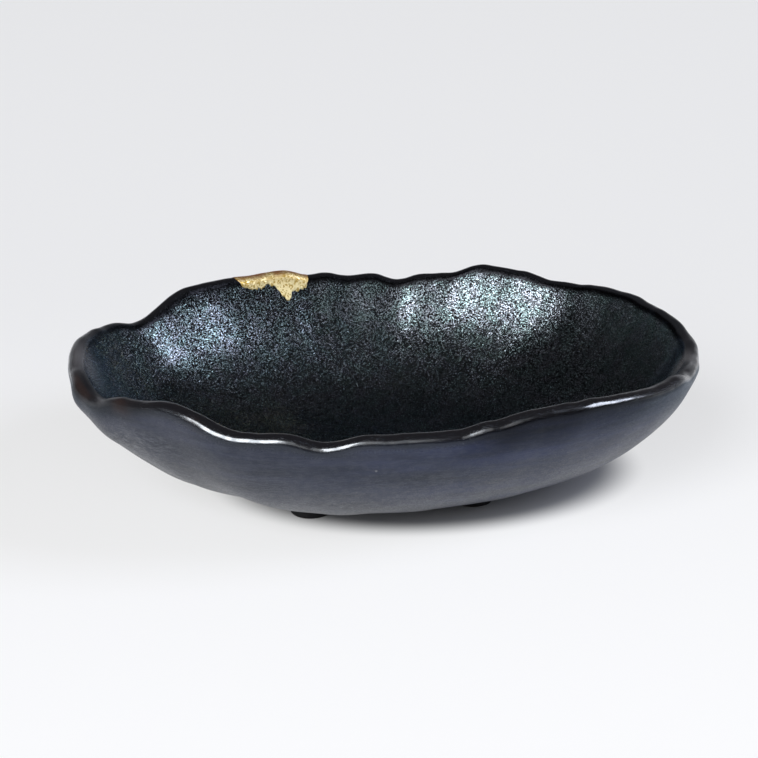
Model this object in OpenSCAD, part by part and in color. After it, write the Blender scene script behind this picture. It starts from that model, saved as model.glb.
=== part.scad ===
// Oval serving bowl, formed by hand in stoneware and glazed black.
// Fingers have pressed the lip in and out, so it rises and dips all the way round, and each
// press fades out down the wall. The belly is pared flat underneath and stands on four button
// feet. Gold lustre covers a short stretch of the far lip and runs down inside in one drip.
// Sizes are in millimetres. Bearings are in degrees, anticlockwise from above, from +X.
// The origin is on the table, under the middle of the oval.

/* [Bowl] */
// Length of the plain oval that the lip follows
bowl_length = 250; // [225:1:280]
// Width of the plain oval that the lip follows
bowl_width = 191; // [175:1:215]
// Squareness of the oval, where 2 is a true ellipse
oval_power = 2.05; // [2:0.05:2.4]
// Mean height of the lip above the table
rim_height = 57; // [48:0.5:75]
// Strength of the finger presses, where 0 is a plain level lip
press_strength = 1; // [0:0.1:1.3]
// Thickness of the wall at the lip
wall_thickness = 7; // [5:0.5:8]
// Thickness of the floor in the middle
floor_thickness = 6; // [4:0.5:9]

/* [Belly] */
// Fullness of the outside, where higher swells out sooner
outer_fullness = 3.1; // [2.8:0.1:3.4]
// Fullness of the inside
inner_fullness = 4; // [3.6:0.1:4.2]
// Steepness of the side, where higher keeps the low part of the wall flatter
side_steepness = 1.6; // [1.5:0.1:1.8]
// Turn of the outside where it meets the lip, where 90 is upright and less leans out
outer_turn = 84; // [78:1:88]
// Turn of the inside where it meets the lip
inner_turn = 68; // [64:1:80]
// Height at which the round belly would end if its base were not pared flat
belly_bottom = 2.5; // [1:0.5:3.5]

/* [Feet] */
// Height of the feet, which lifts the pared base off the table
foot_height = 6.5; // [5:0.5:9]
// Diameter of a foot at its side
foot_diameter = 16.5; // [12:0.5:18]
// Distance between the feet along the bowl
foot_spacing_x = 64; // [50:1:66]
// Distance between the feet across the bowl
foot_spacing_y = 58; // [44:1:60]
// Distance that the set of feet sits off the middle of the oval, along the bowl
foot_shift = -3; // [-3:0.5:3]
// Radius of the worn lower edge of a foot
foot_edge = 1.5; // [0.5:0.5:2.5]
// Radius of the smoothed join between a foot and the base
foot_join = 0.6; // [0.2:0.2:1]

/* [Gold] */
// Bearing of the middle of the gold
gold_bearing = 111.5; // [95:0.5:125]
// Angle that the gold covers along the lip
gold_span = 20; // [12:1:30]
// Depth of the gold below the lip on the inside
gold_inside = 1; // [0.5:0.5:8]
// Depth of the gold below the lip on the outside
gold_outside = 2; // [1:0.5:6]
// Bearing of the drip
drip_bearing = 108; // [103:0.5:118]
// Length of the drip below the gold's inside edge
drip_length = 7.5; // [0:0.5:14]
// Half the angle that the drip covers
drip_half_angle = 4; // [2:0.5:5]
// Thickness of the gold
gold_thickness = 0.3; // [0.2:0.1:0.6]

/* [Hidden] */

// Crests and dips that the fingers left in the lip, one row each:
// bearing, rise above the mean lip height, reach out from the plain oval
rim_marks = [
    [0, -4.5, 2], [6, -1.5, 1], [10, 0, 0], [14, 0, 0], [19, 1.5, 0],
    [24, 1, 0.5], [28, 1, 0.5], [34, -0.5, 1], [40, -0.5, 1], [45, 2, 0.5],
    [50, 3, 0], [55, 4, 0], [64, -0.5, -0.5], [70, -1, -0.5], [77, -3.5, -0.5],
    [84, -0.5, 0], [90, -1, 0], [97, 1, 0], [101, 0.5, 0], [109, 3.5, 0],
    [117, 3, -0.5], [124, 3.5, -0.5], [133, 3.5, -1], [148, -5, -1.5], [158, -1, -0.5],
    [164, 1, -0.5], [172, 2.5, -0.5], [185, 0, 0], [195, -3, 0], [204, 1.5, -1],
    [214, 4.5, -1], [230, -2, 0.5], [238, -1.5, 0], [246, -5, -2], [256, -2, -1.5],
    [271, -2, -2], [277, -2, -2.5], [283, 0.5, -1], [294, 3.5, 0.5], [304, 4, 2],
    [331, -0.5, 1], [341, -4.5, -1], [351, -6.5, 0]
];
full_turn = 360;
first_mark = rim_marks[0];
marks = concat(rim_marks, [[full_turn, first_mark[1], first_mark[2]]]);

half_length = bowl_length / 2;
half_width = bowl_width / 2;
lip_radius = wall_thickness / 2;
floor_height = foot_height + floor_thickness;

// Fineness of the lofted surfaces
bearing_steps = 144;
outer_steps = 10;
lip_side_steps = 5;
inner_steps = 12;
gold_bearing_steps = 36;
gold_across_steps = 24;

// Arc from the crest of the lip to either side of it
lip_arc = lip_radius * PI / 2;
// Half the length of the blunt ends of the gold, along the same arc
gold_end = 1;
// Height of the gold's underside over the glaze, which clears the facets of both surfaces
gold_seat = 0.11;

foot_facets = 64;
foot_radius = foot_diameter / 2;
glaze_colour = "#1b1c20";
foot_colour = "#1a1a1c";
gold_colour = "#c8a65a";

// Smooth step from 0 to 1, level at both ends
function ease(share) = (1 - cos(180 * share)) / 2;

// Last crest or dip at or before a bearing
function mark_before(bearing) =
    max([for (i = [0 : len(marks) - 2]) if (marks[i][0] <= bearing) i]);

// Rise (column 1) or reach (column 2) of the lip, eased between the marks on either side
function press_at(bearing, column) =
    let (
        i = mark_before(bearing),
        share = (bearing - marks[i][0]) / (marks[i + 1][0] - marks[i][0])
    )
    press_strength * (marks[i][column] + (marks[i + 1][column] - marks[i][column]) * ease(share));

// Radius of the plain oval: a superellipse
function oval_radius(bearing) =
    pow(
        pow(abs(cos(bearing)) / half_length, oval_power) + pow(abs(sin(bearing)) / half_width, oval_power),
        -1 / oval_power
    );

// Outermost radius of the lip
function rim_radius(bearing) = oval_radius(bearing) + press_at(bearing, 2);

// Height of the middle of the round of the lip
function lip_level(bearing) = rim_height + press_at(bearing, 1) - lip_radius;

// A wall is part of a superellipse, from its lowest point, at angle 0, to its turn at the lip
function reach_share(angle, turn, fullness) = pow(sin(angle) / sin(turn), 2 / fullness);
function raised(angle) = 1 - pow(cos(angle), 2 / side_steepness);
function rise_share(angle, turn) = raised(angle) / raised(turn);
function angle_at(share, turn) = acos(pow(1 - share * raised(turn), side_steepness / 2));

// Radius of a wall at a height, where end is the radius and height of its upper end
function wall_radius(end, low, height, turn, fullness) =
    end[0] * reach_share(angle_at((height - low) / (end[1] - low), turn), turn, fullness);

// Angle by which a wall leans out at its upper end
function lean_at(radius, rise, turn, fullness) =
    let (
        outward = radius / fullness / tan(turn),
        upward = rise / side_steepness * pow(cos(turn), 2 / side_steepness - 1) * sin(turn) / raised(turn)
    )
    atan(outward / upward);
function outer_lean(bearing) =
    lean_at(rim_radius(bearing), lip_level(bearing) - belly_bottom, outer_turn, outer_fullness);
function inner_lean(bearing) =
    lean_at(
        rim_radius(bearing) - wall_thickness,
        lip_level(bearing) - floor_height,
        inner_turn,
        inner_fullness
    );

// Radius and height on the round of the lip, at an angle from straight out
function on_lip(bearing, angle, lift = 0) = [
    rim_radius(bearing) - lip_radius + (lip_radius + lift) * cos(angle),
    lip_level(bearing) + (lip_radius + lift) * sin(angle)
];

// Point at a radius and height on a bearing
function on_bearing(bearing, radius, height) =
    [radius * cos(bearing), radius * sin(bearing), height];

// Section of the bowl on one bearing: up the outside, over the lip and down the inside. The round
// of the lip carries on from the lean of either wall.
function bowl_section(bearing) =
    let (
        first = -outer_lean(bearing),
        last = 180 - inner_lean(bearing),
        outer_end = on_lip(bearing, first),
        inner_end = on_lip(bearing, last),
        start = angle_at((foot_height - belly_bottom) / (outer_end[1] - belly_bottom), outer_turn)
    )
    concat(
        [
            for (i = [0 : outer_steps])
            let (angle = start + (outer_turn - start) * i / outer_steps)
            on_bearing(
                bearing,
                outer_end[0] * reach_share(angle, outer_turn, outer_fullness),
                belly_bottom + (outer_end[1] - belly_bottom) * rise_share(angle, outer_turn)
            )
        ],
        [
            for (i = [1 : 2 * lip_side_steps - 1])
            let (
                share = i / lip_side_steps - 1,
                angle = 90 + share * (share < 0 ? 90 - first : last - 90),
                point = on_lip(bearing, angle)
            )
            on_bearing(bearing, point[0], point[1])
        ],
        [
            for (i = [0 : inner_steps - 1])
            let (angle = inner_turn * (1 - i / inner_steps))
            on_bearing(
                bearing,
                inner_end[0] * reach_share(angle, inner_turn, inner_fullness),
                floor_height + (inner_end[1] - floor_height) * rise_share(angle, inner_turn)
            )
        ]
    );

// Point over the lip: track is the way along its round from the crest, negative outside and positive
// inside, and goes on down either wall. Lift is the distance off the glaze.
function lip_point(bearing, track, lift) =
    let (
        first = -outer_lean(bearing),
        last = 180 - inner_lean(bearing),
        angle = 90 + track / lip_radius * 180 / PI,
        on_round = on_lip(bearing, min(max(angle, first), last), lift),
        past = angle < first ? first - angle : angle > last ? angle - last : 0,
        end = on_lip(bearing, angle < first ? first : last),
        height = end[1] - past * PI / 180 * lip_radius * cos(angle < first ? first : last - 180)
    )
    past == 0 ? on_bearing(bearing, on_round[0], on_round[1]) :
    angle < first ?
        on_bearing(
            bearing,
            wall_radius(end, belly_bottom, height, outer_turn, outer_fullness) + lift * cos(first),
            height + lift * sin(first)
        ) :
        on_bearing(
            bearing,
            wall_radius(end, floor_height, height, inner_turn, inner_fullness) + lift * cos(last),
            height + lift * sin(last)
        );

// Length of the drip at a bearing, a round-ended bump
function drip_at(bearing) =
    let (offset = (bearing - drip_bearing) / drip_half_angle)
    abs(offset) < 1 ? drip_length * ease(1 - abs(offset)) : 0;

// Edges of the gold, as arcs from the crest of the lip. They close in roundly at both ends.
function gold_edge(bearing, depth) =
    let (offset = (bearing - gold_bearing) / (gold_span / 2))
    gold_end + (lip_arc + depth - gold_end) * sqrt(max(0, 1 - offset * offset));
function gold_inner_edge(bearing) = gold_edge(bearing, gold_inside) + drip_at(bearing);
function gold_outer_edge(bearing) = -gold_edge(bearing, gold_outside);

// Ring round the gold on one bearing: across its underside and back over its top
function gold_ring(bearing) =
    let (
        from = gold_outer_edge(bearing),
        to = gold_inner_edge(bearing),
        tracks = [for (i = [0 : gold_across_steps]) from + (to - from) * i / gold_across_steps]
    )
    concat(
        [for (i = [0 : gold_across_steps]) lip_point(bearing, tracks[i], gold_seat)],
        [
            for (i = [gold_across_steps : -1 : 0])
            lip_point(bearing, tracks[i], gold_seat + gold_thickness)
        ]
    );

// Two triangles between neighbouring points of two neighbouring sections
function cell(a, b, c, d) = [[a, b, c], [a, c, d]];

// Fired clay body: sections lofted all the way round, closed by the base and the floor
module bowl_body() {
    sections = [for (k = [0 : bearing_steps - 1]) bowl_section(full_turn * k / bearing_steps)];
    rows = len(sections[0]);
    base_middle = bearing_steps * rows;
    floor_middle = base_middle + 1;
    points = concat(
        [for (section = sections) each section],
        [[0, 0, foot_height], [0, 0, floor_height]]
    );
    faces = [
        for (k = [0 : bearing_steps - 1])
        let (here = k * rows, next = (k + 1) % bearing_steps * rows)
        each concat(
            [[base_middle, here, next]],
            [[floor_middle, next + rows - 1, here + rows - 1]],
            [
                for (j = [0 : rows - 2])
                each cell(here + j, here + j + 1, next + j + 1, next + j)
            ]
        )
    ];
    color(glaze_colour)
    polyhedron(points, faces);
}

// Button foot: a flat disc with a worn lower edge, smoothed into the base above it
module button_foot(side_x, side_y) {
    worn_edge = [
        for (angle = [-90 : 15 : 0])
        [foot_radius - foot_edge + foot_edge * cos(angle), foot_edge + foot_edge * sin(angle)]
    ];
    smoothed_join = [
        for (angle = [180 : -15 : 90])
        [foot_radius + foot_join + foot_join * cos(angle), foot_height - foot_join + foot_join * sin(angle)]
    ];
    color(foot_colour)
    translate([foot_shift + side_x * foot_spacing_x / 2, side_y * foot_spacing_y / 2, 0])
    rotate_extrude($fn = foot_facets)
    polygon(concat([[0, 0]], worn_edge, smoothed_join, [[0, foot_height]]));
}

module foot_front_left() {
    button_foot(-1, -1);
}

module foot_front_right() {
    button_foot(1, -1);
}

module foot_back_left() {
    button_foot(-1, 1);
}

module foot_back_right() {
    button_foot(1, 1);
}

// Gold lustre: a thin skin over the lip, lofted from end to end by rings that close up at its round ends
module gold_patch() {
    rings = [
        for (k = [0 : gold_bearing_steps])
        gold_ring(gold_bearing - gold_span / 2 * cos(180 * k / gold_bearing_steps))
    ];
    size = len(rings[0]);
    far_end = gold_bearing_steps * size;
    sides = [
        for (k = [0 : gold_bearing_steps - 1], j = [0 : size - 1])
        let (here = k * size, next = here + size, after = (j + 1) % size)
        each cell(here + j, next + j, next + after, here + after)
    ];
    ends = [
        for (j = [0 : gold_across_steps - 1])
        let (under = j, over = size - 1 - j)
        each concat(
            cell(under, under + 1, over - 1, over),
            cell(far_end + over, far_end + over - 1, far_end + under + 1, far_end + under)
        )
    ];
    color(gold_colour)
    polyhedron([for (ring = rings) each ring], concat(sides, ends));
}

bowl_body();
foot_front_left();
foot_front_right();
foot_back_left();
foot_back_right();
gold_patch();
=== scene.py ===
import math
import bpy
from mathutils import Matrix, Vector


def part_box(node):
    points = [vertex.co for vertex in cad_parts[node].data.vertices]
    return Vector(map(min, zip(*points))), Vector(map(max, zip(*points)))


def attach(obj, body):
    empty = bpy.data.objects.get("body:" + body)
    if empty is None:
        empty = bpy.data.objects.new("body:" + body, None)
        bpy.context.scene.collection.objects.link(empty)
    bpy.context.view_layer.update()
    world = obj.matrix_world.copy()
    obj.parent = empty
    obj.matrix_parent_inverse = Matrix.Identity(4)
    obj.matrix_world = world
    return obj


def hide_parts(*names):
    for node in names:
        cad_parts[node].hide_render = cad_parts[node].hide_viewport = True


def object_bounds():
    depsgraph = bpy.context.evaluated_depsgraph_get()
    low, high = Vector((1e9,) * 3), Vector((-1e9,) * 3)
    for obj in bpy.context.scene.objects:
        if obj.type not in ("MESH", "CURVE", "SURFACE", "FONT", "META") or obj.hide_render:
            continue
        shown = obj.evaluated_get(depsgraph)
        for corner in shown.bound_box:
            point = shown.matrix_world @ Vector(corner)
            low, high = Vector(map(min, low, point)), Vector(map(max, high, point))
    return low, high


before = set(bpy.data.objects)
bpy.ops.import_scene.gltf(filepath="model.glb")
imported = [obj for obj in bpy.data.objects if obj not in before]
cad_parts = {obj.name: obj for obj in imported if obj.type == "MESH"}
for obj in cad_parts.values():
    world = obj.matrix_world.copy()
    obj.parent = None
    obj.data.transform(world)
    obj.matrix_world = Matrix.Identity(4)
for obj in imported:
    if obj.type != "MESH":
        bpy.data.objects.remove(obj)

from types import SimpleNamespace

import bpy
import numpy as np
from bpy.props import FloatProperty, FloatVectorProperty, IntProperty, PointerProperty
from mathutils import Vector

CAD_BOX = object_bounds()

bl_info = {
    "name": "Black-glazed oval bowl",
    "version": (1, 0, 0),
    "blender": (4, 5, 0),
    "location": "3D View > Sidebar > Bowl",
    "description": "Dresses a hand-formed stoneware bowl in its glaze, clay and gold",
    "category": "Object",
}

BODY = "root"
MM = 0.001
FULL_TURN = 360.0
FEET = ("foot_front_left", "foot_front_right", "foot_back_left", "foot_back_right")

# Edge of the gold inside the bowl: bearing in degrees, then the way over the lip in millimetres
# from its crest. It is read between the marks with eased steps.
GOLD_INNER_EDGE = (
    (101.5, 0.5), (102.0, 4.0), (103.0, 6.5), (104.0, 8.0), (106.0, 9.8), (107.0, 10.8), (107.8, 13.4),
    (108.8, 14.2), (109.7, 12.8), (110.7, 9.8), (112.0, 7.0), (113.5, 6.0), (115.5, 7.0), (118.5, 6.5),
    (120.5, 5.0), (121.0, 3.0), (121.5, 0.5),
)

# Small dints in the glaze, and presses of the hand on the outside of the wall: bearing in degrees,
# distance from the middle and height in millimetres, then the radius and the depth, which is negative
# where the wall swells
GLAZE_DINTS = (
    (127.0, 42.2, 14.1, 2.6, 0.32), (120.0, 26.4, 12.9, 2.2, 0.28), (35.5, 48.3, 14.2, 3.0, 0.38),
    (102.0, 57.4, 18.4, 2.2, 0.28), (114.0, 64.9, 21.1, 2.6, 0.32), (257.5, 92.0, 41.0, 0.9, 0.11),
)
HAND_PRESSES = (
    (195.5, 110.0, 29.5, 16.0, 2.0), (196.5, 101.5, 23.0, 16.0, 2.0), (188.5, 122.9, 48.3, 11.0, -1.9),
)

# Places inside the ends of the lip with a painted grey sheen, which stands in for a reflection: a point
# in millimetres, then how far the grey reaches from it
PAINTED_SHEEN_PLACES = ((-118.5, 3.0, 56.0, 20.0), (114.0, -18.0, 48.0, 13.0))

# Bands of painted shade under the lip at the ends: where along the bowl each begins and where it is full,
# in metres, its strength, and the track in millimetres at which it has faded
PAINTED_SHADE_BANDS = ((-0.09, -0.11, 0.5, -12.0), (0.0, 0.03, 0.7, -24.0))

# Colours of the crystals in the glaze, the pared edge of the base, the pinhole and the paper's fibres
TEAL_CRYSTAL = (0.176, 0.281, 0.269)
VIOLET_CRYSTAL = (0.240, 0.264, 0.307)
PARED_SLATE = (0.045, 0.050, 0.066)
PINHOLE_GREY = (0.25, 0.25, 0.26)
PAPER_FIBRE = (0.23, 0.235, 0.25)

# Colours of the light, and the strength of the room's
WHITE_LIGHT = (1.0, 1.0, 1.0)
COOL_LIGHT = (0.93, 0.97, 1.10)
ROOM_LIGHT = (1.0, 0.9, 0.98)
ROOM_STRENGTH = 0.06

# Soft boxes in front of the bowl, with dimmer wings: azimuth from the front towards the right,
# elevation, width and height as seen from the bowl, all in degrees, then radiance and colour
LAMPS = (
    ("left_lamp", -41.0, 29.5, 26.0, 35.0, 13.0, WHITE_LIGHT),
    ("left_wing", -22.0, 33.0, 12.0, 27.0, 2.4, WHITE_LIGHT),
    ("front_wing", -1.0, 34.0, 30.0, 29.0, 1.2, WHITE_LIGHT),
    ("right_lamp", 75.5, 30.5, 25.0, 27.0, 9.8, COOL_LIGHT),
)

# Rows of the bowl's grid under the base, up the outer wall, over the lip and down the inner wall
UNDER_ROWS = 8
OUTER_ROWS = 46
LIP_ROWS = 24
INNER_ROWS = 80

# Columns of the feet and the floor, and the angle of each
COLUMNS = 96
ANGLES = np.arange(COLUMNS) * 2.0 * math.pi / COLUMNS


class BowlShape(bpy.types.PropertyGroup):
    """Sizes of the bowl's wall and of the marks that the maker's hands left on it"""

    wall_thickness: FloatProperty(
        name="Wall thickness", description="Thickness of the wall at the lip",
        default=7.0 * MM, unit="LENGTH", precision=4,
    )
    floor_thickness: FloatProperty(
        name="Floor thickness", description="Thickness of the floor in the middle",
        default=6.0 * MM, unit="LENGTH", precision=4,
    )
    belly_bottom: FloatProperty(
        name="Belly bottom", description="Height at which the belly would end if it were not pared flat",
        default=2.5 * MM, unit="LENGTH", precision=4,
    )
    outer_fullness: FloatProperty(
        name="Outer fullness", description="How soon the outside swells out", default=3.1,
    )
    inner_fullness: FloatProperty(
        name="Inner fullness", description="How soon the inside swells out", default=4.0,
    )
    outer_turn: FloatProperty(
        name="Outer turn", description="Turn of the outside at the lip, where a right angle is upright",
        subtype="ANGLE", default=math.radians(84.0),
    )
    inner_turn: FloatProperty(
        name="Inner turn", description="Turn of the inside at the lip, where a right angle is upright",
        subtype="ANGLE", default=math.radians(68.0),
    )
    side_steepness: FloatProperty(
        name="Side steepness", description="How long the low part of the wall stays flat", default=1.6,
    )
    inside_unevenness: FloatProperty(
        name="Inside unevenness", description="Depth of the hand-pressed hollows inside",
        default=0.8 * MM, unit="LENGTH", precision=5,
    )
    outside_unevenness: FloatProperty(
        name="Outside unevenness", description="Depth of the hand-pressed hollows outside",
        default=0.8 * MM, unit="LENGTH", precision=5,
    )
    lip_unevenness: FloatProperty(
        name="Lip unevenness", description="Depth of the small lumps along the lip",
        default=0.16 * MM, unit="LENGTH", precision=5,
    )
    bearing_count: IntProperty(
        name="Bearings", description="Number of sections round the bowl", default=600,
    )


class BowlFinish(bpy.types.PropertyGroup):
    """Colours and grain of the glaze, the clay and the gold"""

    outside_colour: FloatVectorProperty(
        name="Outside glaze", description="Slate of the outside towards the left end",
        subtype="COLOR", default=(0.026, 0.029, 0.052),
    )
    outside_blue_colour: FloatVectorProperty(
        name="Outside blue", description="Bluer slate of the outside towards the right end",
        subtype="COLOR", default=(0.017, 0.024, 0.074),
    )
    outside_dark_colour: FloatVectorProperty(
        name="Outside shade", description="Darker streaks of the outside",
        subtype="COLOR", default=(0.001, 0.002, 0.010),
    )
    inside_colour: FloatVectorProperty(
        name="Inside glaze", description="Deep black of the inside",
        subtype="COLOR", default=(0.004, 0.004, 0.005),
    )
    lip_colour: FloatVectorProperty(
        name="Lip glaze", description="Glossy black of the lip",
        subtype="COLOR", default=(0.005, 0.005, 0.006),
    )
    # Partly a frosting of the glaze and partly a painted reflection of the floor, low down and on the ends
    frost_and_reflection_colour: FloatVectorProperty(
        name="Frost", description="Pale bloom low on the ends of the outside",
        subtype="COLOR", default=(0.110, 0.116, 0.134),
    )
    # Painted sheen: grey that stands in for a reflection inside the lip at the ends
    painted_sheen_colour: FloatVectorProperty(
        name="Sheen", description="Grey sheen inside the lip at the ends",
        subtype="COLOR", default=(0.082, 0.080, 0.084),
    )
    thin_colour: FloatVectorProperty(
        name="Thin glaze", description="Iron brown where the glaze runs thin over an edge",
        subtype="COLOR", default=(0.030, 0.014, 0.009),
    )
    clay_colour: FloatVectorProperty(
        name="Bare clay", description="Iron-rich clay under the feet",
        subtype="COLOR", default=(0.040, 0.030, 0.026),
    )
    gold_colour: FloatVectorProperty(
        name="Gold", description="Body of the gold lustre",
        subtype="COLOR", default=(0.48, 0.32, 0.10),
    )
    pale_gold_colour: FloatVectorProperty(
        name="Pale gold", description="Bright specks in the gold",
        subtype="COLOR", default=(0.95, 0.83, 0.47),
    )
    deep_gold_colour: FloatVectorProperty(
        name="Deep gold", description="Dark yellow specks in the gold",
        subtype="COLOR", default=(0.42, 0.26, 0.025),
    )
    burnt_gold_colour: FloatVectorProperty(
        name="Burnt gold", description="Brown where the gold is thin",
        subtype="COLOR", default=(0.30, 0.12, 0.05),
    )
    pinhole: FloatVectorProperty(
        name="Pinhole", description="Middle of the pale pinhole in the outside glaze",
        subtype="TRANSLATION", default=(-0.0199, -0.0899, 0.041),
    )
    grain_size: FloatProperty(
        name="Grain size", description="Width of one crystal of the glaze",
        default=0.28 * MM, unit="LENGTH", precision=5,
    )
    facet_tilt: FloatProperty(
        name="Facet tilt", description="Steepness of the crystals' facets", default=0.18,
    )


class BowlStudio(bpy.types.PropertyGroup):
    """Camera, lamps and floor"""

    camera_azimuth: FloatProperty(
        name="Camera azimuth", description="Turn of the camera round the bowl from the front",
        subtype="ANGLE", default=math.radians(-10.0),
    )
    camera_elevation: FloatProperty(
        name="Camera elevation", description="Height of the camera over the horizon",
        subtype="ANGLE", default=math.radians(20.6),
    )
    camera_distance: FloatProperty(
        name="Camera distance", description="Distance from the camera to its target",
        default=0.85, unit="LENGTH",
    )
    camera_target: FloatVectorProperty(
        name="Camera target", description="Point in the middle of the picture",
        subtype="TRANSLATION", default=(-0.00295, 0.00052, 0.042),
    )
    camera_lens: FloatProperty(
        name="Lens", description="Focal length in millimetres on a 36 mm sensor", default=101.7,
    )
    floor_colour: FloatVectorProperty(
        name="Floor", description="Paper floor", subtype="COLOR", default=(0.265, 0.270, 0.285),
    )
    # The oval without glow is a painted shadow under the bowl
    shade_middle: FloatVectorProperty(
        name="Shade middle", description="Middle of the oval of floor under the bowl that has no glow",
        subtype="TRANSLATION", default=(0.0175, 0.003, 0.0),
    )
    shade_reach: FloatVectorProperty(
        name="Shade reach", description="Half the size of that oval, just beyond which the glow is full",
        subtype="TRANSLATION", default=(0.096, 0.0685, 1.0),
    )
    floor_glow: FloatProperty(
        name="Floor glow", description="Light of the glowing floor, where 1 is white", default=0.72,
    )
    lamp_distance: FloatProperty(
        name="Lamp distance", description="Distance from the bowl to each lamp", default=9.0, unit="LENGTH",
    )


# Shapes

def ramp(value, start, end):
    """Straight rise from 0, at the start, to 1, at the end."""
    return np.clip((value - start) / (end - start), 0.0, 1.0)


def direction(azimuth, elevation):
    """Unit vector towards an azimuth, from the front towards the right, and an elevation."""
    level = math.cos(elevation)
    return Vector((math.sin(azimuth) * level, -math.cos(azimuth) * level, math.sin(elevation)))


def turned(radius, height, angle):
    """Points at radii and heights, turned round the upright axis to each angle."""
    parts = np.broadcast_arrays(radius * np.cos(angle), radius * np.sin(angle), height)
    return np.stack(parts, axis=-1)


def eased_marks(bearings, marks):
    """Value at each bearing between marks (bearing, value): from one mark to the next the value
    changes by half a cosine wave, so that it is level at every mark."""
    at, value = np.array(marks, float).T
    left = np.clip(np.searchsorted(at, bearings, side="right") - 1, 0, len(at) - 2)
    share = ramp(bearings, at[left], at[left + 1])
    return value[left] + (value[left + 1] - value[left]) * (1.0 - np.cos(np.pi * share)) / 2.0


def lattice_values(x, y, z, seed):
    """Repeatable value from -1 to 1 for each whole-numbered corner: the three numbers and the
    seed are multiplied by large odd numbers, mixed, and cut to sixteen bits."""
    mixed = x * 374761393 + y * 668265263 + z * 2246822519 + seed * 3266489917
    mixed = (mixed & 0xFFFFFFFF) ^ ((mixed & 0xFFFFFFFF) >> 13)
    mixed = (mixed * 1274126177) & 0xFFFFFFFF
    return (((mixed >> 8) & 0xFFFF) / 32767.5) - 1.0


def hand_noise(points, cell, seed):
    """Smooth unevenness from -1 to 1: the eight corner values of the cell that a point is in,
    blended along each axis by the smooth step 3t^2 - 2t^3."""
    scaled = points / cell
    corner = np.floor(scaled).astype(np.int64)
    share = scaled - corner
    share = share * share * (3.0 - 2.0 * share)
    total = np.zeros(points.shape[:-1])
    for step in np.ndindex(2, 2, 2):
        weight = np.prod(np.where(np.array(step) == 1, share, 1.0 - share), axis=-1)
        at = corner + step
        total += weight * lattice_values(at[..., 0], at[..., 1], at[..., 2], seed)
    return total


def surface_normals(points, wrap):
    """Unit normals of a grid of points: the cross product of the steps along the columns and the
    rows. With wrap, the last column is followed by the first."""
    if wrap:
        along = np.roll(points, -1, axis=1) - np.roll(points, 1, axis=1)
    else:
        along = np.gradient(points, axis=1)
    up = np.gradient(points, axis=0)
    normals = np.cross(along, up)
    return normals / np.maximum(np.linalg.norm(normals, axis=-1, keepdims=True), 1e-12)


def read_rim():
    """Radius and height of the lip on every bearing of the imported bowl: on each bearing the
    outermost corner gives the radius and the highest one the height."""
    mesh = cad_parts["bowl_body"].data
    flat = np.empty(len(mesh.vertices) * 3, np.float32)
    mesh.vertices.foreach_get("co", flat)
    corners = flat.reshape(-1, 3).astype(float)
    radius = np.hypot(corners[:, 0], corners[:, 1])
    outside = radius > radius.max() / 2.0
    bearing = np.degrees(np.arctan2(corners[outside, 1], corners[outside, 0])) % FULL_TURN
    found, group = np.unique(np.round(bearing, 1) % FULL_TURN, return_inverse=True)
    rim_radius, rim_height = np.zeros((2, len(found)))
    np.maximum.at(rim_radius, group, radius[outside])
    np.maximum.at(rim_height, group, corners[outside, 2])
    return found, rim_radius, rim_height


def round_curve(bearings, found, values):
    """Smooth closed curve through the values found at even bearings: between two of them a cubic
    whose slope at each is half the step between its neighbours."""
    step = FULL_TURN / len(found)
    place = (bearings - found[0]) / step
    left = np.floor(place).astype(int)
    t = place - left
    before, here, after, beyond = (values[(left + k) % len(found)] for k in (-1, 0, 1, 2))
    bend = 2.0 * before - 5.0 * here + 4.0 * after - beyond
    twist = 3.0 * (here - after) + beyond - before
    return here + 0.5 * t * (after - before + t * (bend + t * twist))


def raised(angle, steepness):
    """Rise of a wall at an angle: 1 - cos(angle)^(2/steepness)."""
    return 1.0 - np.cos(angle) ** (2.0 / steepness)


def wall_points(angle, end, low, turn, fullness, steepness):
    """Part of a superellipse, from its lowest point, at angle 0, to its end at the lip, at the turn:
    radius = end radius * (sin(angle) / sin(turn))^(2/fullness), and
    height = low + (end height - low) * raised(angle) / raised(turn)."""
    radius = end[0] * (np.sin(angle) / math.sin(turn)) ** (2.0 / fullness)
    height = low + (end[1] - low) * raised(angle, steepness) / raised(turn, steepness)
    return radius, height


def lean_at(radius, rise, turn, fullness, steepness):
    """Angle by which a wall leans out at the lip: its outward step over its upward step there."""
    outward = radius / fullness / math.tan(turn)
    upward = rise / steepness * math.cos(turn) ** (2.0 / steepness - 1.0) * math.sin(turn)
    return np.arctan2(outward, upward / raised(turn, steepness))


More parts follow.
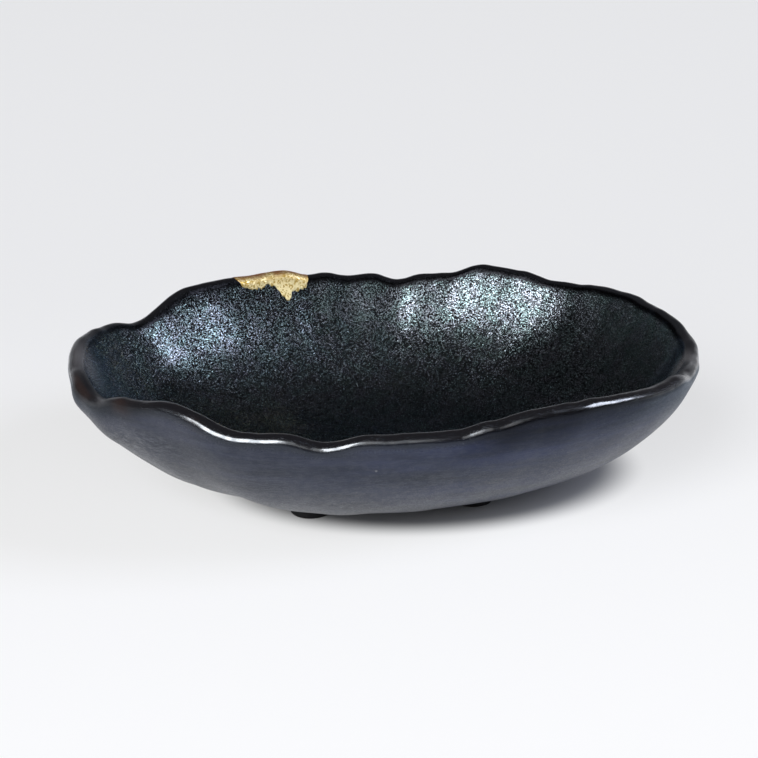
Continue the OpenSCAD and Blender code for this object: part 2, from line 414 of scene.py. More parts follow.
def bowl_grid(shape):
    """Bearings in degrees, points of the bowl, rows by bearings, and the track of each: its way along
    the section in metres from the crest of the lip, negative outside and positive inside. A section
    runs from the base over the outer wall, the round of the lip and the inner wall to the floor. The
    round of the lip carries on from the lean of either wall."""
    bearings = np.arange(shape.bearing_count) * FULL_TURN / shape.bearing_count
    found, rim_radius, rim_height = read_rim()
    radius = round_curve(bearings, found, rim_radius)[None, :]
    lip = shape.wall_thickness / 2.0
    level = round_curve(bearings, found, rim_height)[None, :] - lip
    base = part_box("foot_front_left")[1].z
    floor = base + shape.floor_thickness
    low = shape.belly_bottom
    steepness = shape.side_steepness
    outer_form = (shape.outer_turn, shape.outer_fullness, steepness)
    inner_form = (shape.inner_turn, shape.inner_fullness, steepness)

    first = -lean_at(radius, level - low, *outer_form)
    last = math.pi - lean_at(radius - shape.wall_thickness, level - floor, *inner_form)

    def on_lip(angle):
        return radius - lip + lip * np.cos(angle), level + lip * np.sin(angle)

    outer_end = on_lip(first)
    pared = (base - low) / (outer_end[1] - low) * raised(shape.outer_turn, steepness)
    start = np.arccos((1.0 - pared) ** (steepness / 2.0))
    rise = np.linspace(0.0, 1.0, OUTER_ROWS)[:, None]
    outer = wall_points(start + (shape.outer_turn - start) * rise, outer_end, low, *outer_form)
    spread = outer[0][:1] * np.linspace(0.1, 0.94, UNDER_ROWS)[:, None]
    under = (spread, base + 0.0 * spread)
    over = on_lip(first + (last - first) * np.linspace(0.0, 1.0, LIP_ROWS + 2)[1:-1, None])
    fall = np.linspace(1.0, 0.012, INNER_ROWS)[:, None]
    inner = wall_points(shape.inner_turn * fall + 0.0 * radius, on_lip(last), floor, *inner_form)
    r, z = (np.concatenate([part[k] for part in (under, outer, over, inner)]) for k in (0, 1))
    points = turned(r, z, np.radians(bearings))
    steps = np.linalg.norm(np.diff(points, axis=0), axis=-1)
    track = np.concatenate([np.zeros((1, points.shape[1])), np.cumsum(steps, axis=0)])
    crest = np.argmax(z, axis=0)
    track -= track[crest, np.arange(len(bearings))]
    return bearings, points, track


def dint_depths(points, marks):
    """Depth of the round dints at each point: for each mark, its depth times
    exp(-3 (distance / radius)^2)."""
    total = np.zeros(points.shape[:-1])
    for bearing, distance, height, size, depth in marks:
        a = math.radians(bearing)
        middle = np.array((distance * math.cos(a), distance * math.sin(a), height)) * MM
        away = np.linalg.norm(points - middle, axis=-1) / (size * MM)
        total += depth * MM * np.exp(-3.0 * away * away)
    return total


def press_by_hand(points, track, shape):
    """Moves each point along its normal: broad hollows and finer ripples of hand noise on the walls,
    held back near the lip and on the pared base, small lumps on the lip, up to twice as high on its
    right half, the dints in the glaze, and the presses of the hand, which are on the outside alone.
    The steps over the lip are in millimetres from its crest."""
    normals = surface_normals(points, wrap=True)
    broad = hand_noise(points, cell=34.0 * MM, seed=3)
    fine = hand_noise(points, cell=15.0 * MM, seed=8)
    lumps = hand_noise(points, cell=5.0 * MM, seed=4)
    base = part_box("foot_front_left")[1].z
    way = track / MM
    inside = ramp(way, 2.0, 11.0)
    outside = ramp(way, -3.0, -12.0) * ramp(points[..., 2] - base, 0.0, 6.0 * MM)
    on_lip = ramp(np.abs(way), 9.0, 3.0)
    livelier = 1.0 + ramp(np.abs(points[..., 0] / MM - 55.0), 40.0, 0.0)
    move = inside * shape.inside_unevenness * (0.65 * broad + 0.35 * fine)
    move += outside * shape.outside_unevenness * (0.5 * broad + 0.5 * fine)
    move += on_lip * shape.lip_unevenness * livelier * lumps
    move -= dint_depths(points, GLAZE_DINTS)
    move -= ramp(way, 0.0, -4.0) * dint_depths(points, HAND_PRESSES)
    return points + normals * move[..., None]


def grid_faces(rows, columns):
    """Corner numbers of the quads of a grid whose last column joins its first."""
    row, column = np.meshgrid(np.arange(rows - 1), np.arange(columns), indexing="ij")
    after = (column + 1) % columns
    a, b = row * columns + column, row * columns + after
    return np.stack([a, b, b + columns, a + columns], axis=-1).reshape(-1, 4)


def pole_faces(pole, ring, outward):
    """Triangles from a pole to a closed ring of corners, turned to face outwards."""
    after = np.roll(ring, -1)
    pair = (ring, after) if outward else (after, ring)
    return np.stack([np.full(len(ring), pole), *pair], axis=-1)


def closed_faces(rows, columns):
    """Quads of a grid, and the triangles that close its first and last row at two poles, whose
    corners come after the grid's."""
    count = rows * columns
    ring = np.arange(columns)
    first = pole_faces(count, ring, outward=False)
    last = pole_faces(count + 1, count - columns + ring, outward=True)
    return grid_faces(rows, columns), np.concatenate([first, last])


def new_object(name, data):
    """An object in the scene with its data."""
    made = bpy.data.objects.new(name, data)
    bpy.context.scene.collection.objects.link(made)
    return made


def new_mesh(name, corners, quads, triangles, material):
    """A smooth mesh from arrays of corners, quads and triangles."""
    mesh = bpy.data.meshes.new(name)
    mesh.vertices.add(len(corners))
    mesh.vertices.foreach_set("co", np.ascontiguousarray(corners, np.float32).ravel())
    loops = np.concatenate([quads.ravel(), triangles.ravel()]).astype(np.int32)
    mesh.loops.add(len(loops))
    mesh.loops.foreach_set("vertex_index", loops)
    starts = np.concatenate([
        4 * np.arange(len(quads)), 4 * len(quads) + 3 * np.arange(len(triangles)),
    ]).astype(np.int32)
    mesh.polygons.add(len(starts))
    mesh.polygons.foreach_set("loop_start", starts)
    mesh.polygons.foreach_set("use_smooth", np.ones(len(starts), bool))
    mesh.update(calc_edges=True)
    if mesh.validate():
        raise RuntimeError(f"{name} has faces that do not hold together")
    mesh.materials.append(material)
    return mesh


def new_piece(name, corners, quads, triangles, slot, nodes, material):
    """Makes a piece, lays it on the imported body, and hides the nodes that it stands for."""
    piece = new_object(name, new_mesh(name, corners, quads, triangles, material))
    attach(piece, BODY)
    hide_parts(*nodes)
    return piece


def set_attribute(piece, name, values):
    """Stores one number for each corner, for the materials to read."""
    attribute = piece.data.attributes.new(name, "FLOAT", "POINT")
    attribute.data.foreach_set("value", np.ascontiguousarray(values, np.float32).ravel())


def inside_cad_box(points):
    """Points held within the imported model's box."""
    return np.clip(points, np.array(CAD_BOX[0]), np.array(CAD_BOX[1]))


def finished_bowl(shape):
    """Bearings, points and tracks of the bowl as its maker left it."""
    bearings, points, track = bowl_grid(shape)
    return bearings, inside_cad_box(press_by_hand(points, track, shape)), track


# Materials

def set_inputs(tree, node, values):
    """Links each input of a node to another's output, or sets its own value. A colour is given as
    three numbers."""
    for key, value in values.items():
        socket = node.inputs[key]
        if isinstance(value, bpy.types.NodeSocket):
            tree.links.new(value, socket)
        elif socket.type == "RGBA":
            socket.default_value = (*value, 1.0)
        else:
            socket.default_value = value


def add_node(tree, kind, inputs=(), **settings):
    """A new node with its settings made and its inputs linked or set."""
    node = tree.nodes.new(kind)
    for key, value in settings.items():
        setattr(node, key, value)
    set_inputs(tree, node, dict(inputs))
    return node


def reckon(tree, operation, first, second=0.0, clamp=False):
    """Output of a Math node."""
    node = add_node(tree, "ShaderNodeMath", {0: first, 1: second}, operation=operation, use_clamp=clamp)
    return node.outputs[0]


def times(tree, first, second):
    """Product of two values."""
    return reckon(tree, "MULTIPLY", first, second)


def larger(tree, first, second):
    """The larger of two values."""
    return reckon(tree, "MAXIMUM", first, second)


def vector_math(tree, operation, first, second=(0.0, 0.0, 0.0)):
    """Output of a Vector Math node: a value for a length or a product, and otherwise a vector."""
    node = add_node(tree, "ShaderNodeVectorMath", {0: first, 1: second}, operation=operation)
    is_value = operation in ("DISTANCE", "DOT_PRODUCT", "LENGTH")
    return node.outputs["Value" if is_value else "Vector"]


def ease(tree, value, low, high, bottom=0.0, top=1.0):
    """Smooth step of a value from bottom, at low, to top, at high."""
    node = add_node(
        tree, "ShaderNodeMapRange",
        {"Value": value, "From Min": low, "From Max": high, "To Min": bottom, "To Max": top},
        interpolation_type="SMOOTHSTEP",
    )
    return node.outputs["Result"]


def band_between(tree, value, rise, fall):
    """1 between two smooth steps, each from 0 at its first value to 1 at its second, and 0 beyond."""
    return times(tree, ease(tree, value, *rise), ease(tree, value, *fall))


def layered(tree, colour, *layers):
    """A colour with others laid over it in turn, each given with its share."""
    for share, over in layers:
        node = add_node(tree, "ShaderNodeMix", {0: share, 6: colour, 7: over}, data_type="RGBA")
        colour = node.outputs[2]
    return colour


def blend(tree, share, first, second):
    """Mix of two values."""
    node = add_node(tree, "ShaderNodeMix", {0: share, 2: first, 3: second}, data_type="FLOAT")
    return node.outputs[0]


def noise(tree, vector, scale, detail=2.0, roughness=0.5):
    """Value of a Noise texture."""
    node = add_node(
        tree, "ShaderNodeTexNoise",
        {"Vector": vector, "Scale": scale, "Detail": detail, "Roughness": roughness},
    )
    return node.outputs["Fac"]


def new_group(name, *outputs):
    """An empty shader node group that takes a Vector and a Size, and its input and output nodes. Its
    outputs are values, apart from Tint, which is a colour."""
    group = bpy.data.node_groups.new(name, "ShaderNodeTree")
    sockets = group.interface
    sockets.new_socket(name="Vector", in_out="INPUT", socket_type="NodeSocketVector")
    sockets.new_socket(name="Size", in_out="INPUT", socket_type="NodeSocketFloat")
    for label in outputs:
        kind = "NodeSocketColor" if label == "Tint" else "NodeSocketFloat"
        sockets.new_socket(name=label, in_out="OUTPUT", socket_type=kind)
    return group, group.nodes.new("NodeGroupInput"), group.nodes.new("NodeGroupOutput")


def crystal_grain_group():
    """Crystals that cover the glaze and the gold. Each cell is a flat facet with a chance tilt, so
    Height rises along a chance direction from the cell's middle, in units of the cell's size, and a
    few cells are far steeper than the rest. Fleck is a chance value from 0, dull, to 1, bright, and
    Tint is the colour of the bright ones, which drifts from teal to violet. Polish is another chance
    value."""
    group, given, out = new_group("crystal_grain", "Height", "Fleck", "Tint", "Polish")
    vector, size = given.outputs["Vector"], given.outputs["Size"]
    scale = reckon(group, "DIVIDE", 1.0, size)
    cells = add_node(group, "ShaderNodeTexVoronoi", {"Vector": vector, "Scale": scale})
    middle = cells.outputs["Position"]
    tilt = vector_math(group, "SUBTRACT", cells.outputs["Color"], (0.5, 0.5, 0.5))
    away = vector_math(group, "SUBTRACT", vector, middle)
    rise = vector_math(group, "DOT_PRODUCT", tilt, away)
    chance = add_node(group, "ShaderNodeTexWhiteNoise", {"Vector": middle}).outputs
    parts = add_node(group, "ShaderNodeSeparateColor", {"Color": chance["Color"]}).outputs
    steeper = blend(group, reckon(group, "POWER", parts[2], 4.0), 0.7, 3.0)
    cloud = noise(group, vector, reckon(group, "DIVIDE", scale, 25.0))
    cloud = reckon(group, "ADD", ease(group, cloud, 0.35, 0.65), parts[0])
    set_inputs(group, out, {
        "Height": times(group, reckon(group, "DIVIDE", rise, size), steeper),
        "Fleck": ease(group, chance["Value"], 0.62, 0.82),
        "Tint": layered(group, TEAL_CRYSTAL, (times(group, cloud, 0.5), VIOLET_CRYSTAL)),
        "Polish": parts[1],
    })
    return group


def glaze_drift_group():
    """Slow clouds from glaze that lies thicker and thinner: Cloud runs from 0 to 1, Streak is the
    same drawn out along the bowl, as a hand wipes it, and Brush is finer and drawn out further."""
    group, given, out = new_group("glaze_drift", "Cloud", "Streak", "Brush")
    vector = given.outputs["Vector"]
    scale = reckon(group, "DIVIDE", 1.0, given.outputs["Size"])
    for name, stretch, detail in (("Cloud", 1.0, 4.0), ("Streak", 5.0, 5.0), ("Brush", 12.0, 4.0)):
        drawn = add_node(group, "ShaderNodeMapping", {"Vector": vector, "Scale": (1.0, 1.0, stretch)})
        cloud = noise(group, drawn.outputs[0], scale, detail, 0.55)
        set_inputs(group, out, {name: ease(group, cloud, 0.3, 0.7)})
    return group


NODE_GROUPS = {"crystal_grain": crystal_grain_group, "glaze_drift": glaze_drift_group}


def place_group(tree, name, vector, size):
    """Outputs of a shader node group, made once and placed in a material with its own size."""
    group = bpy.data.node_groups.get(name) or NODE_GROUPS[name]()
    node = add_node(tree, "ShaderNodeGroup", {"Vector": vector, "Size": size}, node_tree=group)
    return node.outputs


def new_material(name):
    """A material with its Principled shader, and its Object coordinates."""
    material = bpy.data.materials.new(name)
    material.use_nodes = True
    tree = material.node_tree
    shader = tree.nodes["Principled BSDF"]
    coords = add_node(tree, "ShaderNodeTexCoord").outputs["Object"]
    return material, tree, shader, coords


def attribute_value(tree, name):
    """Value of one of the piece's own attributes."""
    node = add_node(tree, "ShaderNodeAttribute", attribute_name=name, attribute_type="GEOMETRY")
    return node.outputs["Fac"]


def bump(tree, height, distance):
    """Normal of a Bump node at full strength."""
    node = add_node(tree, "ShaderNodeBump", {"Height": height, "Strength": 1.0, "Distance": distance})
    return node.outputs["Normal"]


def outside_slate(tree, finish, at):
    """Colour of the outside, and the share of the bands of painted shade under its lip: slate that turns
    bluer towards the right, wiped in streaks, paler on the pared edge of the base, and paler in flecks
    low down and on the ends, partly a frosting of the glaze and partly a painted reflection of the floor."""
    right = ease(tree, at.along, -0.06, 0.03)
    pooled = layered(tree, finish.outside_colour, (right, finish.outside_blue_colour))
    wiped = blend(tree, 0.4, at.drift["Streak"], at.drift["Brush"])
    pared = times(tree, ease(tree, at.up, 0.020, 0.010), at.drift["Brush"])
    # Paler in flecks low down and on the ends: a frosting, and partly a painted reflection of the floor
    ends = ease(tree, at.outward, 0.08, 0.105)
    frost_and_reflection = times(tree, ends, ease(tree, at.track, -9.0, -22.0))
    frost_and_reflection = larger(tree, frost_and_reflection, ease(tree, at.up, 0.045, 0.012, 0.15, 0.6))
    flecked = blend(tree, 0.6, at.beads["Cloud"], at.beads["Streak"])
    frost_and_reflection = times(tree, frost_and_reflection, ease(tree, flecked, 0.3, 0.9))
    # Painted shade under the lip at the ends; the glaze also turns it to dark metal, dimming reflections
    painted_shade = 0.0
    for begins, full, strength, faded in PAINTED_SHADE_BANDS:
        band = band_between(tree, at.track, (faded, -6.5), (-3.0, -4.5))
        band = times(tree, band, ease(tree, at.along, begins, full, 0.0, strength))
        painted_shade = larger(tree, painted_shade, band)
    slate = layered(
        tree, finish.outside_dark_colour,
        (wiped, pooled), (pared, PARED_SLATE), (frost_and_reflection, finish.frost_and_reflection_colour), (painted_shade, finish.lip_colour),
    )
    return slate, painted_shade


def thin_break(tree, at):
    """Share of the iron-brown break, where the glaze runs thin over the lip at the left end."""
    on_lip = band_between(tree, at.track, (-10.0, -5.0), (0.0, -2.5))
    thin = times(tree, on_lip, ease(tree, at.drift["Cloud"], 0.2, 0.8))
    return times(tree, thin, ease(tree, at.along, -0.075, -0.1, 0.0, 0.6))


def inside_crystals(tree, finish, at):
    """Colour of the inside: crystals in black, quieter towards the right end."""
    lively = ease(tree, at.along, 0.115, 0.085, 0.35, 1.0)
    fleck = blend(tree, lively, 0.28, at.grain["Fleck"])
    return layered(tree, finish.inside_colour, (fleck, at.grain["Tint"]))


def painted_sheen_share(tree, at):
    """Share of the painted grey sheen: full at the middle of each of its places, and only inside the lip.
    """
    grey = 0.0
    for x, y, z, reach in PAINTED_SHEEN_PLACES:
        away = vector_math(tree, "DISTANCE", at.coords, (x * MM, y * MM, z * MM))
        grey = larger(tree, grey, ease(tree, away, reach * MM, 0.0))
    return times(tree, grey, ease(tree, at.track, -3.0, 0.0))


def glaze_material(finish):
    """Black glaze: slate satin outside, with one pale pinhole, smooth and glossy on the lip, and deep
    and crystalline inside. Tracks are in millimetres, and places in metres."""
    material, tree, shader, coords = new_material("black_glaze")
    track = attribute_value(tree, "track")
    place = add_node(tree, "ShaderNodeSeparateXYZ", {0: coords}).outputs
    at = SimpleNamespace(
        coords=coords, track=track, along=place["X"], up=place["Z"],
        outward=reckon(tree, "ABSOLUTE", place["X"]),
        grain=place_group(tree, "crystal_grain", coords, finish.grain_size),
        drift=place_group(tree, "glaze_drift", coords, 34.0 * MM),
        beads=place_group(tree, "glaze_drift", coords, 3.0 * MM),
    )
    inside = ease(tree, track, 1.5, 3.0)
    outside = ease(tree, track, -3.5, -9.0)

    slate, painted_shade = outside_slate(tree, finish, at)
    hole = vector_math(tree, "DISTANCE", coords, finish.pinhole)
    # Painted sheen: grey inside the lip at the ends, standing in for a reflection
    grey = painted_sheen_share(tree, at)
    colour = layered(
        tree, finish.lip_colour,
        (outside, slate),
        (thin_break(tree, at), finish.thin_colour),
        (ease(tree, hole, 0.9 * MM, 0.4 * MM), PINHOLE_GREY),
        (ease(tree, track, 3.5, 6.0), inside_crystals(tree, finish, at)),
        (grey, finish.painted_sheen_colour),
    )
    # The painted sheen takes the metal away, so that its grey shows
    metal = times(tree, inside, reckon(tree, "SUBTRACT", 0.95, grey, clamp=True))
    # The painted shade is dark metal, which dims the reflections under the lip at the ends
    metal = larger(tree, painted_shade, metal)

    polish = times(tree, at.grain["Polish"], 0.2)
    lip = ease(tree, track, -3.0, 0.5, 0.14, 0.24)
    lip = reckon(tree, "ADD", lip, ease(tree, at.outward, 0.085, 0.11, 0.0, 0.2))
    rough = blend(tree, outside, lip, reckon(tree, "ADD", polish, 0.28))
    rough = blend(tree, inside, rough, reckon(tree, "ADD", polish, 0.12))
    wet = band_between(tree, track, (-5.0, -4.0), (1.0, -1.0))
    wet = times(tree, wet, blend(tree, at.beads["Cloud"], 0.4, 1.0))

    facets = larger(tree, larger(tree, inside, outside), 0.4)
    height = times(tree, at.grain["Height"], facets)
    ridges = times(tree, at.drift["Brush"], times(tree, outside, 0.6))
    height = reckon(tree, "ADD", height, ridges)
    normal = bump(tree, height, finish.facet_tilt * finish.grain_size)

    set_inputs(tree, shader, {
        "Base Color": colour, "Metallic": metal, "Roughness": rough, "Normal": normal,
        "Coat Weight": wet, "Coat Roughness": 0.16, "Coat IOR": 1.7,
        "IOR": 1.55, "Specular Tint": (0.78, 0.88, 1.0),
    })
    return material


def foot_material(finish):
    """Foot: the same glaze at the side, wiped off and worn to bare clay underneath."""
    material, tree, shader, coords = new_material("foot_clay")
    grain = place_group(tree, "crystal_grain", coords, finish.grain_size)
    drift = place_group(tree, "glaze_drift", coords, 6.0 * MM)
    height = attribute_value(tree, "height")
    edge = reckon(tree, "ADD", height, times(tree, drift["Cloud"], 0.6))
    glazed = ease(tree, edge, 0.5, 1.1)
    grog = times(tree, grain["Fleck"], 0.5)
    black = finish.inside_colour
    set_inputs(tree, shader, {
        "Base Color": layered(tree, finish.clay_colour, (grog, black), (glazed, black)),
        "Roughness": blend(tree, glazed, 0.85, 0.6),
        "Normal": bump(tree, grain["Height"], 0.1 * MM),
        "IOR": 1.3,
    })
    return material


def gold_material(finish):
    """Gold lustre: speckled pale, full and deep gold, palest low inside, where it lies thickest, and
    burnt brown where it runs thin over the crest and the outside of the lip."""
    material, tree, shader, coords = new_material("gold_lustre")
    grain = place_group(tree, "crystal_grain", coords, 0.65 * MM)
    drift = place_group(tree, "glaze_drift", coords, 6.0 * MM)
    track = attribute_value(tree, "track")
    speck = grain["Polish"]
    pale = larger(tree, speck, ease(tree, track, 2.0, 6.5, 0.0, 0.9))
    pitted = ease(tree, grain["Fleck"], 0.2, 0.8, 0.0, 0.8)
    thick = reckon(tree, "ADD", track, times(tree, drift["Cloud"], 2.5))
    burnt = ease(tree, thick, 4.5, 1.0, 0.0, 0.9)
    colour = layered(
        tree, finish.gold_colour, (pale, finish.pale_gold_colour), (pitted, finish.deep_gold_colour),
        (burnt, finish.burnt_gold_colour),
    )
    set_inputs(tree, shader, {
        "Base Color": colour,
        "Roughness": blend(tree, speck, 0.55, 0.38),
        "Normal": bump(tree, grain["Height"], 0.09 * MM),
        "Metallic": 0.7,
    })
    return material


def floor_material(studio):
    """Grey paper floor and backdrop. Outside an oval under the bowl, more than half of its light is a
    glow that the camera and reflections see, so that it stays pale to its edge and the shadow is deep
    only under the bowl. The glow fades a little towards the backdrop and far in front, under the lamps,
    and more in reflections, which do not show it far in front of the bowl."""
    material, tree, shader, coords = new_material("pale_floor")
    # Painted shadow: no glow in the oval under the bowl, which deepens the lamps' own shadow there
    centred = vector_math(tree, "SUBTRACT", coords, studio.shade_middle)
    squeezed = vector_math(tree, "DIVIDE", centred, studio.shade_reach)
    open_floor = ease(tree, vector_math(tree, "LENGTH", squeezed), 0.71, 0.95)
    away = vector_math(tree, "LENGTH", coords)
    depth = add_node(tree, "ShaderNodeSeparateXYZ", {0: coords}).outputs["Y"]
    glow = ease(tree, depth, -0.3, 0.3, studio.floor_glow, 0.8 * studio.floor_glow)
    glow = times(tree, glow, ease(tree, depth, -2.5, -0.35, 0.55, 1.0))
    glow = times(tree, open_floor, glow)
    ray = add_node(tree, "ShaderNodeLightPath").outputs
    mirrored = times(tree, ray["Is Glossy Ray"], ease(tree, depth, -0.8, -0.3))
    mirrored = times(tree, mirrored, ease(tree, away, 0.6, 2.5, 1.0, 0.2))
    seen = reckon(tree, "ADD", ray["Is Camera Ray"], mirrored)
    seen = reckon(tree, "ADD", seen, ray["Is Transmission Ray"], clamp=True)
    fibre = times(tree, noise(tree, coords, 900.0, 3.0, 0.6), 0.06)
    set_inputs(tree, shader, {
        "Base Color": layered(tree, studio.floor_colour, (fibre, PAPER_FIBRE)),
        "Emission Strength": times(tree, glow, seen), "Emission Color": (0.97, 0.97, 0.96),
        "Roughness": 0.9, "Specular IOR Level": 0.1,
    })
    return material


# Operators

class BOWL_OT_make_body(bpy.types.Operator):
    """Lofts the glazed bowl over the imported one"""

    bl_idname = "bowl.make_body"
    bl_label = "Make bowl body"

    def execute(self, context):
        scene = context.scene
        _, points, track = finished_bowl(scene.bowl_shape)
        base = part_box("foot_front_left")[1].z
        floor = points[-1, :, 2].mean()
        corners = np.concatenate([points.reshape(-1, 3), [[0.0, 0.0, base], [0.0, 0.0, floor]]])
        piece = new_piece(
            "glazed_bowl", corners, *closed_faces(*track.shape),
            "black_glaze", ["bowl_body"], glaze_material(scene.bowl_finish),
        )
        ends = [track[0].mean(), track[-1].mean()]
        set_attribute(piece, "track", np.concatenate([track.ravel(), ends]) / MM)
        return {"FINISHED"}


class BOWL_OT_make_feet(bpy.types.Operator):
    """Turns the four button feet, each a little out of round"""

    bl_idname = "bowl.make_feet"
    bl_label = "Make feet"

    def execute(self, context):
        material = foot_material(context.scene.bowl_finish)
        for number, name in enumerate(FEET):
            self.make_foot(number, name, material)
        return {"FINISHED"}

    def make_foot(self, number, name, material):
        """Profile of a foot turned round its own axis: a flat underside, a worn round edge, a side
        that draws in a little at the waist and a smoothed join to the base. The radius swells by a
        two-lobed and a three-lobed wave."""
        low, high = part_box(name)
        middle = (low + high) / 2.0
        full = (high.x - low.x) / 2.0
        join = 0.6 * MM
        edge = 1.5 * MM
        waist = 0.25 * MM
        side = full - join
        tall = high.z
        flat = np.linspace(0.12, 1.0, 9)[:-1] * (side - edge)
        turn = np.linspace(-math.pi / 2.0, 0.0, 12)
        climb = np.linspace(0.0, 1.0, 10)[1:-1]
        sweep = np.linspace(math.pi, math.pi / 2.0, 8)
        radius = np.concatenate([
            flat, side - edge + edge * np.cos(turn),
            side - waist * np.sin(math.pi * climb), full + join * np.cos(sweep),
        ])
        height = np.concatenate([
            0.0 * flat, edge + edge * np.sin(turn),
            edge + (tall - join - edge) * climb, tall - join + join * np.sin(sweep),
        ])
        lobes = 0.012 * np.cos(2.0 * ANGLES + number) + 0.008 * np.cos(3.0 * ANGLES + 2.0 * number) - 0.02
        spread = radius[:, None] * (1.0 + lobes[None, :])
        points = turned(spread, height[:, None], ANGLES).reshape(-1, 3)
        poles = [[0.0, 0.0, 0.0], [0.0, 0.0, tall]]
        corners = np.concatenate([points, poles]) + [middle.x, middle.y, 0.0]
        piece = new_piece(
            f"clay_{name}", corners, *closed_faces(*spread.shape), "foot_clay", [name], material,
        )
        set_attribute(piece, "height", corners[:, 2] / MM)


class BOWL_OT_make_gold(bpy.types.Operator):
    """Lays the gold over the lip as a thin skin with a ragged edge and one drip"""

    bl_idname = "bowl.make_gold"
    bl_label = "Make gold"

    def execute(self, context):
        columns = 121
        across = 49
        at = np.linspace(GOLD_INNER_EDGE[0][0], GOLD_INNER_EDGE[-1][0], columns)
        share = np.linspace(0.0, 1.0, across)
        from_tip = np.minimum(at - at[0], at[-1] - at)
        inner, outer = self.edges(at, from_tip)
        way = outer[None, :] + (inner - outer)[None, :] * share[:, None]
        spread = self.on_bowl(at, way, *finished_bowl(context.scene.bowl_shape))

        # The skin is sunk a little under the glaze, and swells from a thin edge to its full thickness
        sunk = 0.08 * MM
        thin = 0.05 * MM
        swell = 0.17 * MM
        soft_edge = 1.2 * MM
        lip_per_degree = 1.7 * MM
        rim = np.minimum(share, 1.0 - share)[:, None] * np.abs(inner - outer)[None, :]
        from_edge = np.minimum(rim, (from_tip * lip_per_degree)[None, :])
        lift = thin + swell * np.sqrt(ramp(from_edge, 0.0, soft_edge))
        normals = surface_normals(spread, wrap=False)
        top = spread + normals * lift[..., None]
        under = spread - normals * sunk

        corners = inside_cad_box(np.concatenate([under, top[::-1]]))
        size = 2 * across
        loop = corners.transpose(1, 0, 2).reshape(-1, 3)
        quads = grid_faces(columns, size)
        j = np.arange(across - 1)
        near = np.stack([j, j + 1, size - 2 - j, size - 1 - j], axis=-1)
        far = (columns - 1) * size + near[:, ::-1]
        piece = new_piece(
            "gold_lustre_patch", loop, np.concatenate([quads, near, far])[:, ::-1],
            np.empty((0, 3), int), "gold_lustre", ["gold_patch"], gold_material(context.scene.bowl_finish),
        )
        set_attribute(piece, "track", np.concatenate([way, way[::-1]]).T / MM)
        return {"FINISHED"}

    def edges(self, at, from_tip):
        """Ways over the lip of the gold's edge inside, through its marks, and outside, where it
        overlaps the lip by the square root of a rise from either tip. Both are made ragged by two sizes of
        hand noise along the bearings."""
        overlap = 6.0 * MM
        line = np.stack([at, 0.0 * at, 0.0 * at], axis=-1)
        ragged = 0.35 * MM * hand_noise(line, cell=0.9, seed=21)
        ragged += 0.45 * MM * hand_noise(line, cell=0.42, seed=5)
        ends = ramp(from_tip, 0.0, 1.2)
        inner = eased_marks(at, GOLD_INNER_EDGE) * MM + ragged * ends
        outer = -0.4 * MM - overlap * np.sqrt(ends) + 2.0 * ragged * ends
        return inner, outer

    def on_bowl(self, at, way, bearings, points, track):
        """Points of the finished bowl at bearings and ways over the lip, read between the rows and
        then between the two nearest sections."""
        place = at / FULL_TURN * len(bearings)
        left = np.floor(place).astype(int)
        share = (place - left)[None, :, None]

        def along(section, column):
            return np.stack([
                np.interp(way[:, column], track[:, section], points[:, section, k]) for k in range(3)
            ], axis=-1)

        first, second = (
            np.stack([along(s + k, c) for c, s in enumerate(left)], axis=1) for k in (0, 1)
        )
        return first * (1.0 - share) + second * share


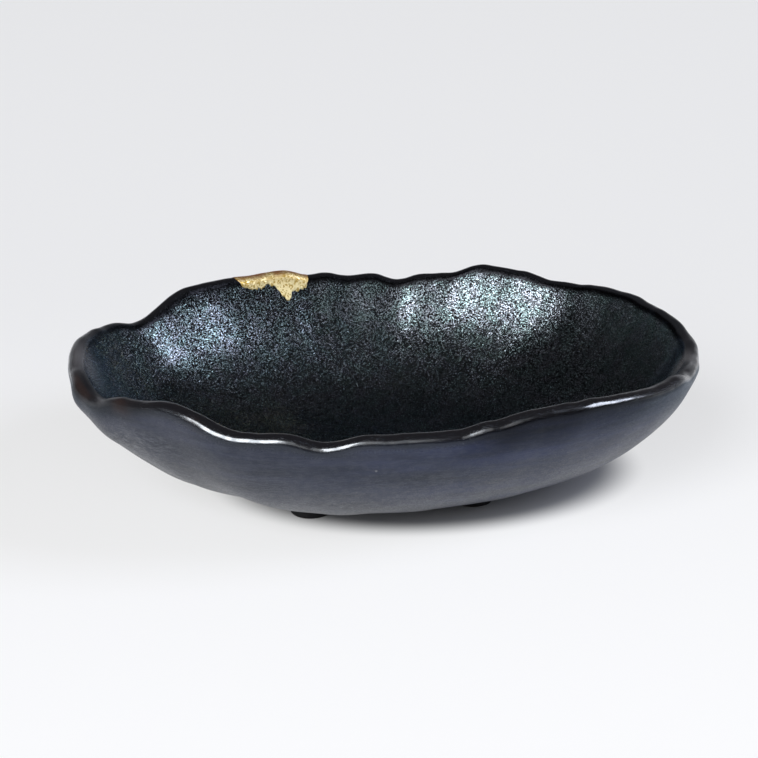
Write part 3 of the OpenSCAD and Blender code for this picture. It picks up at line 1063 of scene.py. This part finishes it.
class BOWL_OT_set_stage(bpy.types.Operator):
    """Sets the floor, the backdrop, the lamps and the camera"""

    bl_idname = "bowl.set_stage"
    bl_label = "Set stage"

    def execute(self, context):
        scene = context.scene
        studio = scene.bowl_studio
        self.lay_floor(studio)
        self.hang_lamps(studio)
        self.dim_world(scene)
        self.set_camera(scene, studio)
        scene.view_settings.view_transform = "Standard"
        return {"FINISHED"}

    def lay_floor(self, studio):
        """Round floor that curves up into a backdrop, which is low in front, under the lamps, and taller
        behind the bowl: a profile of a flat run, a quarter circle and an upright, turned round the
        bowl's axis."""
        reach = 4.5
        bend = 0.6
        front_height = 1.2
        back_height = 2.0
        flat = np.linspace(0.02, 1.0, 24) ** 1.5 * reach
        turn = np.linspace(0.0, math.pi / 2.0, 14)[1:]
        radius = np.concatenate([flat, reach + bend * np.sin(turn), [reach + bend]])
        height = np.concatenate([0.0 * flat, bend - bend * np.cos(turn), [front_height]])
        tall = height[:, None] + 0.0 * ANGLES
        tall[-1] += (back_height - front_height) * np.clip(np.sin(ANGLES), 0.0, 1.0) ** 2
        points = turned(radius[:, None], tall, ANGLES).reshape(-1, 3)
        corners = np.concatenate([points, [[0.0, 0.0, 0.0]]])
        upward = grid_faces(*tall.shape)[:, ::-1]
        under_bowl = pole_faces(len(points), np.arange(COLUMNS), outward=True)
        mesh = new_mesh("floor", corners, upward, under_bowl, floor_material(studio))
        floor = new_object("floor", mesh)

    def hang_lamps(self, studio):
        """Soft boxes at one distance, each facing the bowl. A lamp's energy is its radiance times pi
        times its area."""
        for name, azimuth, elevation, wide, tall, radiance, colour in LAMPS:
            away = direction(math.radians(azimuth), math.radians(elevation))
            light = bpy.data.lights.new(name, "AREA")
            light.shape = "RECTANGLE"
            light.size, light.size_y = (
                2.0 * studio.lamp_distance * math.tan(math.radians(seen / 2.0)) for seen in (wide, tall)
            )
            light.energy = radiance * math.pi * light.size * light.size_y
            light.color = colour
            lamp = new_object(name, light)
            lamp.location = away * studio.lamp_distance
            lamp.rotation_euler = away.to_track_quat("Z", "Y").to_euler()
            lamp.visible_camera = False

    def dim_world(self, scene):
        """Dim even light from the rest of the room."""
        world = bpy.data.worlds.new("room")
        world.use_nodes = True
        tree = world.node_tree
        set_inputs(tree, tree.nodes["Background"], {"Color": ROOM_LIGHT, "Strength": ROOM_STRENGTH})
        scene.world = world

    def set_camera(self, scene, studio):
        """Camera on a long lens, looking at its target from an azimuth and an elevation."""
        back = direction(studio.camera_azimuth, studio.camera_elevation)
        data = bpy.data.cameras.new("camera")
        data.sensor_width = 36.0
        data.lens = studio.camera_lens
        data.clip_start = 0.05
        data.clip_end = 50.0
        camera = new_object("camera", data)
        camera.location = Vector(studio.camera_target) + back * studio.camera_distance
        camera.rotation_euler = back.to_track_quat("Z", "Y").to_euler()
        scene.camera = camera


OPERATORS = (BOWL_OT_make_body, BOWL_OT_make_feet, BOWL_OT_make_gold, BOWL_OT_set_stage)
VALUE_GROUPS = {"bowl_shape": BowlShape, "bowl_finish": BowlFinish, "bowl_studio": BowlStudio}


class BOWL_PT_panel(bpy.types.Panel):
    """Buttons that make each piece, and the values that they use"""

    bl_label = "Bowl"
    bl_idname = "BOWL_PT_panel"
    bl_space_type = "VIEW_3D"
    bl_region_type = "UI"
    bl_category = "Bowl"

    def draw(self, context):
        for operator in OPERATORS:
            self.layout.operator(operator.bl_idname)
        for group, values in VALUE_GROUPS.items():
            box = self.layout.box()
            for name in values.__annotations__:
                box.prop(getattr(context.scene, group), name)


CLASSES = (*VALUE_GROUPS.values(), *OPERATORS, BOWL_PT_panel)


def register():
    for cls in CLASSES:
        bpy.utils.register_class(cls)
    for name, values in VALUE_GROUPS.items():
        setattr(bpy.types.Scene, name, PointerProperty(type=values))


def unregister():
    for name in VALUE_GROUPS:
        delattr(bpy.types.Scene, name)
    for cls in reversed(CLASSES):
        bpy.utils.unregister_class(cls)


def main():
    """Makes every piece and the stage."""
    register()
    bpy.ops.bowl.make_body()
    bpy.ops.bowl.make_feet()
    bpy.ops.bowl.make_gold()
    bpy.ops.bowl.set_stage()


if __name__ == "__main__":
    main()
